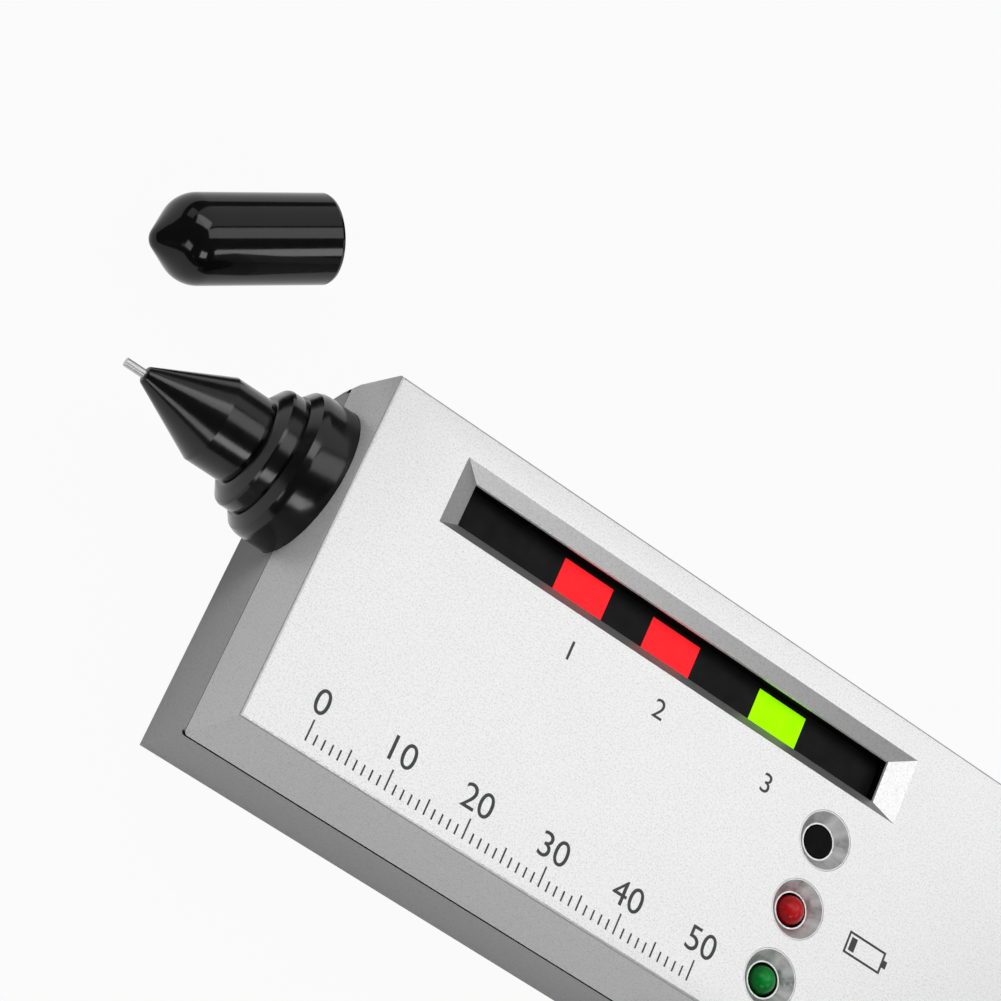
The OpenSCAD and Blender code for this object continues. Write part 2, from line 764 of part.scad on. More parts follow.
module potentiometer() {
    z0 = board_z0 - pot_h;
    color("slategray") translate([wheel_x, wheel_y, z0]) difference() {
        cylinder(d = pot_d, h = pot_h);
        translate([0, 0, -1]) cylinder(r = shaft_d/2 + run_gap, h = shaft_top - z0 + 1 + seat_gap);
    }
}

module battery() {
    color("royalblue") translate([battery_x0, 0, battery_z]) rotate([90, 0, 90])
        linear_extrude(battery_l) polygon(rounded_outline(battery_w, battery_t, 2));
}

module battery_terminals() {
    color("gainsboro") translate([battery_x0, 0, battery_z]) rotate([0, -90, 0]) {
        translate([0, -terminal_pitch/2, 0]) cylinder(r = stud_r, h = terminal_h);
        translate([0, terminal_pitch/2, 0]) difference() {
            cylinder(r = socket_r, h = terminal_h, $fn = 6);
            translate([0, 0, 0.6]) cylinder(r = stud_r, h = terminal_h);
        }
    }
}

module battery_snap() {
    deep = terminal_h + seat_gap;
    color("black") difference() {
        box(snap_x0, snap_x1, -battery_w/2 + 0.6, battery_w/2 - 0.6, battery_z - snap_h/2, battery_z + snap_h/2);
        for (m = [-1, 1]) translate([battery_x0 + 1, m*terminal_pitch/2, battery_z])
            rotate([0, -90, 0]) cylinder(r = socket_r + seat_gap, h = deep + 1);
    }
}

// Two leads from the snap connector, bent up to the underside of the board
module battery_leads() {
    bend_x = board_x1 - 1.3;
    color("red") for (y = lead_y) translate([bend_x, y, lead_z]) {
        translate([lead_bend, 0, 0]) rotate([0, 90, 0])
            cylinder(r = snap_lead_r, h = snap_x0 - bend_x - lead_bend);
        translate([lead_bend, 0, lead_bend]) rotate([90, 0, 0]) rotate([0, 0, 180])
            rotate_extrude(angle = 90) translate([lead_bend, 0]) circle(r = snap_lead_r);
        translate([0, 0, lead_bend]) cylinder(r = snap_lead_r, h = board_z0 - lead_z - lead_bend);
    }
}

module battery_door() {
    color("darkgray") difference() {
        intersection() {
            skin();
            union() {
                box(door_x0 + slide_gap, tail_x + 1, -door_half + slide_gap, door_half - slide_gap,
                    door_z0, door_z1);
                box(door_x0 + slide_gap, tail_x - end_draft - edge_r, -door_half - tongue_w, door_half + tongue_w,
                    tongue_z, tongue_z + tongue_t);
            }
        }
        for (i = [0:grip_count - 1])
            box(door_x0 + 6 + i*1.8, door_x0 + 6.9 + i*1.8, -7, 7, -1, door_z0 + 0.4);
    }
}

// Stepped collar, clamped in the end wall between its seat and its inner flange
module probe_collar() {
    step = 0.3;
    color("black") on_probe() rotate_extrude($fn = 96)
        polygon([[spigot_r + fit_gap, flange_u], [flange_r, flange_u], [flange_r, -pad_x],
                 [neck_r, -pad_x], [neck_r, -collar_seat], [ring2_r, -collar_seat],
                 [ring2_r, ring2_front], [ring2_r - 0.08, ring2_front + 0.55],
                 [ring2_r - 0.32, ring2_front + 1.1], [ring1_r + 0.25, ring2_front + 2],
                 [ring1_r - step, ring2_front + 2.05], [ring1_r - step, ring2_front + 2.35],
                 [ring1_r, ring2_front + 2.45], [ring1_r, collar_front - 1.25],
                 [ring1_r - 0.16, collar_front - 0.95], [nose_r + 0.5, collar_front - 0.06],
                 [nose_r + 0.3, collar_front], [spigot_r + fit_gap, collar_front]]);
}

module probe_nose() {
    neck = nose_r - 0.35;
    color("black") on_probe() rotate_extrude($fn = 96)
        polygon(concat([[chamber_r, flange_u], [spigot_r, flange_u], [spigot_r, collar_front],
                        [neck, collar_front], [neck, collar_front + 0.4],
                        [nose_r, collar_front + 0.5], [nose_r, cone_start]],
                       arc(cone_tip_r - cone_tip_round, cone_front - cone_tip_round, cone_tip_round, 25, 90, 5),
                       [[needle_d/2 + fit_gap, cone_front], [needle_d/2 + fit_gap, chamber_front],
                        [chamber_r, chamber_front]]));
}

module probe_needle() {
    color("silver") on_probe() translate([0, 0, needle_u0])
        cylinder(d = needle_d, h = needle_u1 - needle_u0);
}

module needle_carrier() {
    color("goldenrod") on_probe() difference() {
        translate([0, 0, carrier_u0]) cylinder(r = carrier_r, h = carrier_l);
        translate([0, 0, needle_u0]) cylinder(r = needle_d/2 + 0.02, h = needle_grip + 1);
        translate([0, 0, carrier_u0 - 1]) cylinder(r = sensor_d/2 + fit_gap, h = needle_u0 - carrier_u0 + 1);
    }
}

module thermal_sensor() {
    color("tan") on_probe() translate([0, 0, needle_u0 - sensor_l])
        cylinder(d = sensor_d, h = sensor_l);
}

// One ring of a tube round a helix
function helix_ring(r, a, z, tube_r) =
    [for (k = [0:5]) let (b = 60*k, q = r + tube_r*cos(b))
        [q*cos(a), q*sin(a), z + tube_r*sin(b)]];

module probe_spring() {
    steps = spring_turns*12;
    low = plug_u1 + wire_d/2 + fit_gap;
    high = carrier_u0 - wire_d/2 - fit_gap;
    points = [for (i = [0:steps]) each
        helix_ring(spring_r, i*30, low + (high - low)*i/steps, wire_d/2)];
    sides = [for (i = [0:steps - 1]) for (k = [0:5])
        let (a = 6*i + k, b = 6*i + (k + 1)%6) each [[a, b, b + 6], [a, b + 6, a + 6]]];
    caps = [[for (k = [0:5]) 5 - k], [for (k = [0:5]) 6*steps + k]];
    color("silver") on_probe() polyhedron(points, concat(sides, caps));
}

// Plug behind the spring, with a tube inside it that stops the carrier at the end of its travel
module probe_plug() {
    color("dimgray") on_probe() difference() {
        union() {
            translate([0, 0, flange_u - eps]) cylinder(r = chamber_r - 0.02, h = plug_l + eps);
            translate([0, 0, flange_u - eps])
                cylinder(r = lead_d + seat_gap + stop_wall, h = stop_u - flange_u + eps);
            translate([0, 0, flange_u - plug_head_t]) cylinder(r = plug_head_r, h = plug_head_t);
        }
        translate([0, 0, flange_u - plug_head_t - 1])
            cylinder(r = lead_d + seat_gap, h = stop_u - flange_u + plug_head_t + 2);
    }
}

module probe_leads() {
    start = plug_u1 - 1;
    finish = -board_from_end - 0.6;
    color("red") on_probe() for (m = [-1, 1])
        translate([0, m*(lead_d/2 + 0.05), finish]) cylinder(d = lead_d, h = start - finish);
}

module probe_socket() {
    x0 = board_x0 + 0.6;
    color("ivory") box(x0, x0 + probe_socket_l, probe_y - 2.6, probe_y + 2.6, parting_z - 1.4, board_z0);
}

// Vinyl cap as it lies beside the tester, mouth away from the probe
module probe_cap() {
    inner_z = cap_floor + cap_inner_r;
    color("black") translate([front_x - cap_x, cap_y, cap_r]) rotate([0, 90, cap_angle])
        rotate_extrude($fn = 96)
            polygon(concat(arc(0, nub_r, nub_r, -90, cap_turn, 7),
                           arc(cap_r - shoulder_r, shoulder_at, shoulder_r, cap_turn, 0, 9),
                           [[cap_r, cap_l - 0.35], [cap_r - 0.12, cap_l - 0.1],
                            [cap_bore_r + cap_wall/2, cap_l], [cap_bore_r, cap_l - 0.05],
                            [cap_bore_r, inner_z]],
                           arc(cap_bore_r - cap_inner_r, inner_z, cap_inner_r, 0, -90, 6),
                           [[0, cap_floor]]));
}

front_shell();
rear_shell();
display_bezel();
display_mask();
result_lamp_red_left();
result_lamp_red_middle();
result_lamp_green();
button_bezel();
low_battery_bezel();
ready_bezel();
test_button();
switch_plunger();
tact_switch();
low_battery_lamp();
ready_lamp();
circuit_board();
board_screws();
case_screws();
control_chip();
sounder();
thumbwheel();
wheel_shaft();
potentiometer();
battery();
battery_terminals();
battery_snap();
battery_leads();
battery_door();
probe_collar();
probe_nose();
probe_needle();
needle_carrier();
thermal_sensor();
probe_spring();
probe_plug();
probe_leads();
probe_socket();
probe_cap();
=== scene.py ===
"""Looks of the gemstone tester: finishes, needle spring, prints and studio, built round the frame."""

import json
import math

import bmesh
import bpy
from mathutils import Matrix, Vector

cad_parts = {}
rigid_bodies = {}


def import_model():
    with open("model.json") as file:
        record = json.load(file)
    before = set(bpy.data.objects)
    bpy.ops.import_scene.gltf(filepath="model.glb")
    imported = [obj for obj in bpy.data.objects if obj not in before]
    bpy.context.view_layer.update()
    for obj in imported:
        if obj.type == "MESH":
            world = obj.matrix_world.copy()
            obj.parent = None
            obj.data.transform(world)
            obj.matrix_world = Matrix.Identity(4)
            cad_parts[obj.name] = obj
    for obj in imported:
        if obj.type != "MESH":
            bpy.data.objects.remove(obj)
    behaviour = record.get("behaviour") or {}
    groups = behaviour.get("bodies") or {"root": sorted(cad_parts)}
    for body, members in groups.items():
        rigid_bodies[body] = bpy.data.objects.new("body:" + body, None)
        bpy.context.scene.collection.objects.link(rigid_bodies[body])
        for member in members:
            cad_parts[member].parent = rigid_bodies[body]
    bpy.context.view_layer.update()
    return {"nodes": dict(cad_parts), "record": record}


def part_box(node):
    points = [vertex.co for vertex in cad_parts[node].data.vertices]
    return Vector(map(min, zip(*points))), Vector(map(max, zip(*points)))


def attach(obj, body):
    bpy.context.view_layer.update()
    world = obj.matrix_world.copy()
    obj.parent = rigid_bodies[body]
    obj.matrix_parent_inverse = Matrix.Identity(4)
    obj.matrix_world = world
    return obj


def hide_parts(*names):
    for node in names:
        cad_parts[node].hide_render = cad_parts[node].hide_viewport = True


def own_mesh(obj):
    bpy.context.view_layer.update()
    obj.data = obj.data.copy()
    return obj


MM = 0.001

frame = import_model()
nodes = frame["nodes"]


# Places taken from the frame

FACE_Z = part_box("front_shell")[1].z
PROBE_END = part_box("front_shell")[0].x


def middle(node):
    """Centre of a node's box."""
    low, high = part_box(node)
    return (low + high) / 2


# Objects

def add_object(name, data):
    """New object in the scene's collection."""
    obj = bpy.data.objects.new(name, data)
    bpy.context.collection.objects.link(obj)
    return obj


def add_mesh(name, bm):
    """New object from a finished bmesh."""
    mesh = bpy.data.meshes.new(name)
    bm.to_mesh(mesh)
    bm.free()
    return add_object(name, mesh)


def bridge(bm, ring, following):
    """Faces between two closed rings with the same number of points."""
    count = len(ring)
    for i in range(count):
        j = (i + 1) % count
        bm.faces.new((ring[i], ring[j], following[j], following[i]))


# Node helpers

# Noise mostly lies between these two values
NOISE_LOW = 0.3
NOISE_HIGH = 0.7


def new_material(name):
    """A material with its tree, its Principled shader and its object coordinates."""
    mat = bpy.data.materials.new(name)
    mat.use_nodes = True
    tree = mat.node_tree
    shader = tree.nodes["Principled BSDF"]
    coords = tree.nodes.new("ShaderNodeTexCoord")
    return mat, tree, shader, coords.outputs["Object"]


def set_inputs(node, **values):
    """Fixed values on sockets; an underscore stands for a space in a socket's name."""
    for key, value in values.items():
        node.inputs[key.replace("_", " ")].default_value = value


def link_inputs(tree, node, **sources):
    """Links into sockets; an underscore stands for a space in a socket's name."""
    for key, source in sources.items():
        tree.links.new(source, node.inputs[key.replace("_", " ")])


def noise(tree, vector, scale, detail):
    tex = tree.nodes.new("ShaderNodeTexNoise")
    set_inputs(tex, Scale=scale, Detail=detail)
    link_inputs(tree, tex, Vector=vector)
    return tex.outputs["Fac"]


def gradient(tree, vector, kind):
    tex = tree.nodes.new("ShaderNodeTexGradient")
    tex.gradient_type = kind
    link_inputs(tree, tex, Vector=vector)
    return tex.outputs["Fac"]


def stretched(tree, vector, scale, shift=(0, 0, 0)):
    """Coordinates times a scale for each axis, then shifted."""
    mapping = tree.nodes.new("ShaderNodeMapping")
    set_inputs(mapping, Location=shift, Scale=scale)
    link_inputs(tree, mapping, Vector=vector)
    return mapping.outputs["Vector"]


def facing_up(tree):
    """Upward part of a surface's direction: 1 on a level top, 0 on a wall."""
    parts = tree.nodes.new("ShaderNodeSeparateXYZ")
    link_inputs(tree, parts, Vector=tree.nodes["Texture Coordinate"].outputs["Normal"])
    return parts.outputs["Z"]


def ramp(tree, factor, stops):
    """Colour ramp from (position, colour) pairs; a single number is a grey."""
    node = tree.nodes.new("ShaderNodeValToRGB")
    elements = node.color_ramp.elements
    while len(elements) < len(stops):
        elements.new(1.0)
    for element, (position, colour) in zip(elements, stops):
        rgb = colour if isinstance(colour, tuple) else (colour, colour, colour)
        element.position = position
        element.color = (*rgb, 1)
    link_inputs(tree, node, Fac=factor)
    return node.outputs["Color"]


def levels(tree, factor, low, high, out_low, out_high):
    """Values from out_low to out_high while the factor goes from low to high."""
    node = tree.nodes.new("ShaderNodeMapRange")
    set_inputs(node, From_Min=low, From_Max=high, To_Min=out_low, To_Max=out_high)
    link_inputs(tree, node, Value=factor)
    return node.outputs["Result"]


def mottle(tree, factor, low, high):
    """Colours from low to high over the usual span of noise."""
    return ramp(tree, factor, [(NOISE_LOW, low), (NOISE_HIGH, high)])


def varied(tree, factor, low, high):
    """Values from low to high over the usual span of noise."""
    return levels(tree, factor, NOISE_LOW, NOISE_HIGH, low, high)


def multiplied(tree, a, b):
    """Product of two colours."""
    node = tree.nodes.new("ShaderNodeMix")
    node.data_type = "RGBA"
    node.blend_type = "MULTIPLY"
    set_inputs(node, Factor=1.0)
    link_inputs(tree, node, A=a, B=b)
    return node.outputs["Result"]


def add_bump(tree, shader, height, strength, distance):
    node = tree.nodes.new("ShaderNodeBump")
    set_inputs(node, Strength=strength, Distance=distance)
    link_inputs(tree, node, Height=height)
    link_inputs(tree, shader, Normal=node.outputs["Normal"])


def scaled(colour, share):
    """Colour times a share."""
    return tuple(share * channel for channel in colour)


# Finishes

# Share of painted shade by how far up a face looks: none on walls and none on the level top
SLOPE_SHADE_STOPS = [(0.35, 0.0), (0.55, 1.0), (0.93, 1.0), (0.96, 0.0)]

# Faces that look up get painted shade between these two values, down to a share of the paint's tone
UP_SHADE_FROM = 0.2
UP_SHADE_TO = 0.5
UP_SHADE_SHARE = 0.03


def silver_paint(name, tone, metallic, shade_faces_up=False, painted_slope_shade=None):
    """Pale silver paint whose fine flakes show as a soft speckle.

    One choice darkens faces that look up, as painted shade: on the rear shell those are
    the floor of its parting groove and its inside. The other gives bevels and rounded edges
    that face half up painted shade, a share of the tone, and their own metallic level.
    """
    mat, tree, shader, at = new_material(name)
    set_inputs(shader, Metallic=metallic, Specular_IOR_Level=0.0)
    flake_tones = [(0.3, 0.82 * tone), (0.46, tone), (0.66, 1.08 * tone)]
    speckle = ramp(tree, noise(tree, at, scale=5200, detail=2), flake_tones)
    clouds = mottle(tree, noise(tree, at, scale=60, detail=3), 0.98, 1.0)
    colour = multiplied(tree, speckle, clouds)
    # painted shade: bevels and rounded edges that face half up get a darker share of the tone
    if painted_slope_shade:
        slope_shade_share, slope_metallic = painted_slope_shade
        sloping = ramp(tree, facing_up(tree), SLOPE_SHADE_STOPS)
        colour = multiplied(tree, colour, levels(tree, sloping, 0, 1, 1.0, slope_shade_share))
        link_inputs(tree, shader, Metallic=levels(tree, sloping, 0, 1, metallic, slope_metallic))
    # painted shade: faces that look up, on the rear shell its groove floor and its inside, are
    # darkened
    if shade_faces_up:
        up_shade = levels(tree, facing_up(tree), UP_SHADE_FROM, UP_SHADE_TO, 1.0, UP_SHADE_SHARE)
        colour = multiplied(tree, colour, up_shade)
    rough = varied(tree, noise(tree, at, scale=7000, detail=1), 0.28, 0.44)
    link_inputs(tree, shader, Base_Color=colour, Roughness=rough)
    fine = noise(tree, at, scale=4200, detail=2)
    add_bump(tree, shader, fine, strength=0.12, distance=0.012 * MM)
    return mat


def black_plastic(name, level, roughness, shine, grain, depth):
    """Black plastic; a polished one has a low roughness and almost no grain."""
    mat, tree, shader, at = new_material(name)
    set_inputs(shader, Specular_IOR_Level=shine)
    tint = mottle(tree, noise(tree, at, scale=420, detail=4), level * 0.75, level * 1.25)
    wear = noise(tree, at, scale=900, detail=4)
    rough = varied(tree, wear, roughness * 0.85, roughness * 1.2)
    link_inputs(tree, shader, Base_Color=tint, Roughness=rough)
    add_bump(tree, shader, noise(tree, at, scale=grain, detail=3), strength=0.2, distance=depth)
    return mat


def lit_diffuser(name, colour):
    """Lit diffuser of a result lamp, a little uneven."""
    mat, tree, shader, at = new_material(name)
    set_inputs(shader, Roughness=0.55, Specular_IOR_Level=0.02, Emission_Strength=0.56)
    dim = scaled(colour, 0.9)
    glow = mottle(tree, noise(tree, at, scale=260, detail=2), dim, colour)
    body = mottle(tree, noise(tree, at, scale=700, detail=2), scaled(dim, 0.8), dim)
    link_inputs(tree, shader, Emission_Color=glow, Base_Color=body)
    return mat


def lamp_lens(name, node, painted_rim_shade, bright, painted_glint):
    """Domed lens with painted light: a painted glint at its centre, bright over its cup and painted
    shade towards the rim.
    """
    mat, tree, shader, at = new_material(name)
    set_inputs(shader, Roughness=0.25, Specular_IOR_Level=0.1)
    set_inputs(shader, Coat_Weight=0.04, Coat_Roughness=0.06)
    low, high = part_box(node)
    centre = middle(node)
    radius = (high.x - low.x) / 2
    shift = (-centre.x / radius, -centre.y / radius, 0)
    inward = stretched(tree, at, (1 / radius, 1 / radius, 0), shift)
    # painted glint at the centre, painted shade at the rim
    stops = [(0.12, painted_rim_shade), (0.5, bright), (0.95, painted_glint)]
    shade = ramp(tree, gradient(tree, inward, "SPHERICAL"), stops)
    cloud = mottle(tree, noise(tree, at, scale=900, detail=3), 0.8, 1.0)
    link_inputs(tree, shader, Base_Color=multiplied(tree, shade, cloud))
    return mat


def spun_metal(name, node):
    """Satin metal with a fine grain and soft spokes about a ring's own axis."""
    mat, tree, shader, at = new_material(name)
    set_inputs(shader, Metallic=1.0)
    centre = middle(node)
    local = stretched(tree, at, (1, 1, 1), (-centre.x, -centre.y, 0))
    spokes = tree.nodes.new("ShaderNodeTexNoise")
    spokes.noise_dimensions = "1D"
    set_inputs(spokes, Scale=16, Detail=3)
    link_inputs(tree, spokes, W=gradient(tree, local, "RADIAL"))
    tone = mottle(tree, spokes.outputs["Fac"], 0.62, 0.74)
    grain = noise(tree, at, scale=2600, detail=3)
    speck = mottle(tree, grain, 0.86, 1.0)
    rough = varied(tree, grain, 0.4, 0.58)
    link_inputs(tree, shader, Base_Color=multiplied(tree, tone, speck), Roughness=rough)
    add_bump(tree, shader, grain, strength=0.15, distance=0.015 * MM)
    return mat


def drawn_metal(name, colour, roughness, closeness):
    """Metal with fine lines, whose closeness is given for each axis."""
    mat, tree, shader, at = new_material(name)
    set_inputs(shader, Metallic=1.0)
    lines = noise(tree, stretched(tree, at, closeness), scale=1.0, detail=1)
    tint = mottle(tree, lines, scaled(colour, 0.9), colour)
    rough = varied(tree, lines, roughness * 0.8, roughness * 1.25)
    link_inputs(tree, shader, Base_Color=tint, Roughness=rough)
    add_bump(tree, shader, lines, strength=0.03, distance=0.002 * MM)
    return mat


def moulded(name, colour, roughness):
    """Plain moulded or coated piece with a slight unevenness."""
    mat, tree, shader, at = new_material(name)
    tint = mottle(tree, noise(tree, at, scale=300, detail=4), scaled(colour, 0.82), colour)
    fine = noise(tree, at, scale=2200, detail=3)
    rough = varied(tree, fine, roughness * 0.85, roughness * 1.15)
    link_inputs(tree, shader, Base_Color=tint, Roughness=rough)
    add_bump(tree, shader, fine, strength=0.15, distance=0.01 * MM)
    return mat


LONG_X = (60, 2600, 2600)
EVEN = (2400, 2400, 2400)
RED = (1.0, 0.022, 0.028)
GREEN = (0.36, 1.0, 0.0)

finishes = {
    # The front paint's slope values give its window bevels and rounded edges painted shade
    "silver_paint": silver_paint("silver_paint", tone=0.745, metallic=0.23, painted_slope_shade=(0.58, 0.88)),
    "black_gloss": black_plastic("black_gloss", level=0.004, roughness=0.17, shine=0.38,
                                 grain=700, depth=0.003 * MM),
    "black_matt": black_plastic("black_matt", level=0.0035, roughness=0.45, shine=0.04,
                                grain=2600, depth=0.02 * MM),
    "black_vinyl": black_plastic("black_vinyl", level=0.004, roughness=0.1, shine=0.3,
                                 grain=260, depth=0.003 * MM),
    "red_light": lit_diffuser("red_light", RED),
    "green_light": lit_diffuser("green_light", GREEN),
    # The lens colours hold painted light: a glint at the centre and shade at the rim
    "red_lens": lamp_lens("red_lens", "low_battery_lamp", painted_rim_shade=(0.24, 0.003, 0.005),
                          bright=(0.46, 0.007, 0.01), painted_glint=(0.54, 0.025, 0.025)),
    "green_lens": lamp_lens("green_lens", "ready_lamp", painted_rim_shade=(0.0, 0.06, 0.01),
                            bright=(0.0, 0.18, 0.022), painted_glint=(0.01, 0.28, 0.05)),
    "bright_steel": drawn_metal("bright_steel", (0.7, 0.7, 0.71), 0.36, LONG_X),
    "zinc_screw": drawn_metal("zinc_screw", (0.66, 0.67, 0.68), 0.34, EVEN),
    "brass_slug": drawn_metal("brass_slug", (0.75, 0.55, 0.24), 0.32, LONG_X),
    "battery_can": moulded("battery_can", (0.1, 0.11, 0.13), 0.35),
    "board_green": moulded("board_green", (0.03, 0.2, 0.09), 0.4),
    "grey_plastic": moulded("grey_plastic", (0.3, 0.31, 0.33), 0.5),
    "pale_plastic": moulded("pale_plastic", (0.8, 0.78, 0.7), 0.5),
    "ceramic_bead": moulded("ceramic_bead", (0.75, 0.62, 0.48), 0.7),
    "red_insulation": moulded("red_insulation", (0.6, 0.03, 0.03), 0.45),
}

# Finishes of single nodes, in place of the one for their slot
RINGS = ("button_bezel", "low_battery_bezel", "ready_bezel")
# The rear shell and battery door take a darker tone than the front shell: painted shade for the lower
# walls, which get less light
REAR_SHADED_TONE = 0.54
REAR_METALLIC = 0.1
own_finish = {node: spun_metal("satin_" + node, node) for node in RINGS}
# The rear shell's paint darkens its faces that look up as painted shade
own_finish["rear_shell"] = silver_paint("silver_paint_rear", REAR_SHADED_TONE, REAR_METALLIC,
                                        shade_faces_up=True)
own_finish["battery_door"] = silver_paint("silver_paint_door", REAR_SHADED_TONE, REAR_METALLIC)
own_finish["probe_needle"] = drawn_metal("needle_steel", (0.56, 0.56, 0.57), 0.44, LONG_X)
own_finish["display_mask"] = black_plastic("mask_black", level=0.009, roughness=0.45, shine=0.05,
                                           grain=2600, depth=0.01 * MM)
print_ink = moulded("print_ink", (0.035, 0.035, 0.037), 0.6)


# Smooth shading

MERGE_GAP = 0.0005 * MM


def smooth_group(name, angle):
    """Modifier group that joins equal points and shades smoothly up to an angle between faces."""
    group = bpy.data.node_groups.new(name, "GeometryNodeTree")
    for in_out in ("INPUT", "OUTPUT"):
        group.interface.new_socket("Geometry", in_out=in_out, socket_type="NodeSocketGeometry")
    make = group.nodes.new
    start = make("NodeGroupInput")
    end = make("NodeGroupOutput")
    merge = make("GeometryNodeMergeByDistance")
    set_inputs(merge, Distance=MERGE_GAP)
    edge = make("GeometryNodeInputMeshEdgeAngle")
    flat = make("FunctionNodeCompare")
    flat.operation = "LESS_EQUAL"
    set_inputs(flat, B=angle)
    faces = make("GeometryNodeSetShadeSmooth")
    edges = make("GeometryNodeSetShadeSmooth")
    edges.domain = "EDGE"
    link_inputs(group, merge, Geometry=start.outputs[0])
    link_inputs(group, faces, Geometry=merge.outputs[0])
    link_inputs(group, flat, A=edge.outputs["Unsigned Angle"])
    link_inputs(group, edges, Geometry=faces.outputs[0], Shade_Smooth=flat.outputs["Result"])
    link_inputs(group, end, Geometry=edges.outputs[0])
    return group


smooth = smooth_group("smooth_by_angle", math.radians(20))
smooth_thin = smooth_group("smooth_thin", math.radians(40))
slot_of = {entry["node"]: entry["material_slot"] for entry in frame["record"]["subparts"]}
for name, obj in nodes.items():
    obj.data.materials.clear()
    obj.data.materials.append(own_finish.get(name) or finishes[slot_of[name]])
    modifier = obj.modifiers.new("smooth", "NODES")
    modifier.node_group = smooth_thin if name == "probe_needle" else smooth


# Spring behind the needle, which shortens as the needle is pushed in: here a fixed wound wire that
# fills the spring node's box

WIRE_R = 0.225 * MM
WIRE_SIDES = 10
TURNS = 9
TURN_STEPS = 32


def wound_wire(name, node):
    """Closed tube round a helix that fills a node's box, wound about the x axis."""
    low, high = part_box(node)
    centre = middle(node)
    radius = (high.z - low.z) / 2 - WIRE_R
    pitch = (high.x - low.x - 2 * WIRE_R) / TURNS
    axis = Vector((1, 0, 0))
    angles = [2 * math.pi * side / WIRE_SIDES for side in range(WIRE_SIDES)]
    bm = bmesh.new()
    rings = []
    for step in range(TURNS * TURN_STEPS + 1):
        turn = 2 * math.pi * step / TURN_STEPS
        out = Vector((0, math.cos(turn), math.sin(turn)))
        along = low.x + WIRE_R + pitch * step / TURN_STEPS
        at = Vector((along, centre.y, centre.z)) + radius * out
        points = [at + WIRE_R * (math.cos(a) * out + math.sin(a) * axis) for a in angles]
        rings.append([bm.verts.new(point) for point in points])
    for ring, following in zip(rings, rings[1:]):
        bridge(bm, ring, following)
    bm.faces.new(rings[0])
    bm.faces.new(reversed(rings[-1]))
    bmesh.ops.recalc_face_normals(bm, faces=bm.faces)
    for face in bm.faces:
        face.smooth = len(face.verts) == 4
    return add_mesh(name, bm)


spring = wound_wire("return_spring", "probe_spring")
spring.data.materials.append(finishes["bright_steel"])
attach(spring, "housing")
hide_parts("probe_spring")
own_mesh(spring)


# Prints on the face: a plain millimetre scale, lamp numbers and two symbols

PRINT_T = 0.012 * MM

# Height of a digit as a share of the font's size
DIGIT_SHARE = 0.72


def printed(obj):
    """Ink and body of a print."""
    obj.data.materials.append(print_ink)
    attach(obj, "housing")


def number(text, x, y, height):
    """Number centred on x, standing on y."""
    curve = bpy.data.curves.new("print_" + text, "FONT")
    curve.body = text
    curve.size = height / DIGIT_SHARE
    curve.align_x = "CENTER"
    curve.extrude = PRINT_T
    obj = add_object("print_number_%s_%d" % (text, len(bpy.data.objects)), curve)
    obj.location = (x, y, FACE_Z)
    printed(obj)


def flat_piece(name, bars):
    """One thin mesh from bars on the face, each given as x0, x1, y0, y1."""
    bm = bmesh.new()
    for x0, x1, y0, y1 in bars:
        box = bmesh.ops.create_cube(bm, size=1)["verts"]
        size = Matrix.Diagonal((x1 - x0, y1 - y0, 2 * PRINT_T, 1))
        place = Matrix.Translation(((x0 + x1) / 2, (y0 + y1) / 2, FACE_Z))
        bmesh.ops.transform(bm, matrix=place @ size, verts=box)
    printed(add_mesh(name, bm))


SCALE_X = PROBE_END + 8 * MM
SCALE_Y = -19.2 * MM
SCALE_MM = 50
TICKS = {10: 2.4 * MM, 5: 1.8 * MM, 1: 1.2 * MM}
TICK_W = 0.2 * MM
NUMBER_EVERY = 10
NUMBER_Y = SCALE_Y + 3.1 * MM
NUMBER_H = 2.9 * MM


def tick_bar(step):
    """Bar of one tick, as long as the largest unit that divides its step."""
    x = SCALE_X + step * MM
    length = next(length for unit, length in TICKS.items() if step % unit == 0)
    return x - TICK_W / 2, x + TICK_W / 2, SCALE_Y, SCALE_Y + length


flat_piece("print_scale", [tick_bar(step) for step in range(SCALE_MM + 1)])
for step in range(0, SCALE_MM + 1, NUMBER_EVERY):
    number(str(step), SCALE_X + step * MM, NUMBER_Y, NUMBER_H)

LAMP_NUMBER_H = 2.3 * MM
LAMP_NUMBERS = (
    ("1", "result_lamp_red_left", 3.9 * MM),
    ("2", "result_lamp_red_middle", 3.9 * MM),
    ("3", "result_lamp_green", 3.6 * MM),
)
for text, lamp, y in LAMP_NUMBERS:
    number(text, middle(lamp).x, y, LAMP_NUMBER_H)

# Distance of a symbol from the centre of its lamp
SIGN_GAP = 7 * MM
SIGN_W = 5.2 * MM
SIGN_H = 2.6 * MM
LINE = 0.26 * MM


def battery_sign(x, y):
    """Outline of a battery with one bar left."""
    right = x + SIGN_W
    top = y + SIGN_H
    return [
        (x, right, y, y + LINE),
        (x, right, top - LINE, top),
        (x, x + LINE, y + LINE, top - LINE),
        (right - LINE, right, y + LINE, top - LINE),
        (right, right + 2 * LINE, y + SIGN_H / 3, y + 2 * SIGN_H / 3),
        (x + 2 * LINE, x + 5 * LINE, y + 2 * LINE, top - 2 * LINE),
    ]


battery_at = middle("low_battery_lamp")
flat_piece("print_low_battery", battery_sign(battery_at.x + SIGN_GAP, battery_at.y - SIGN_H / 2))

# Tick for ready: its low corner, the tips of its two strokes and their width
STROKE_FROM = (1.1 * MM, -1.0 * MM)
STROKE_TIPS = ((0, 0.2 * MM), (3.2 * MM, 1.5 * MM))
STROKE_W = 0.36 * MM


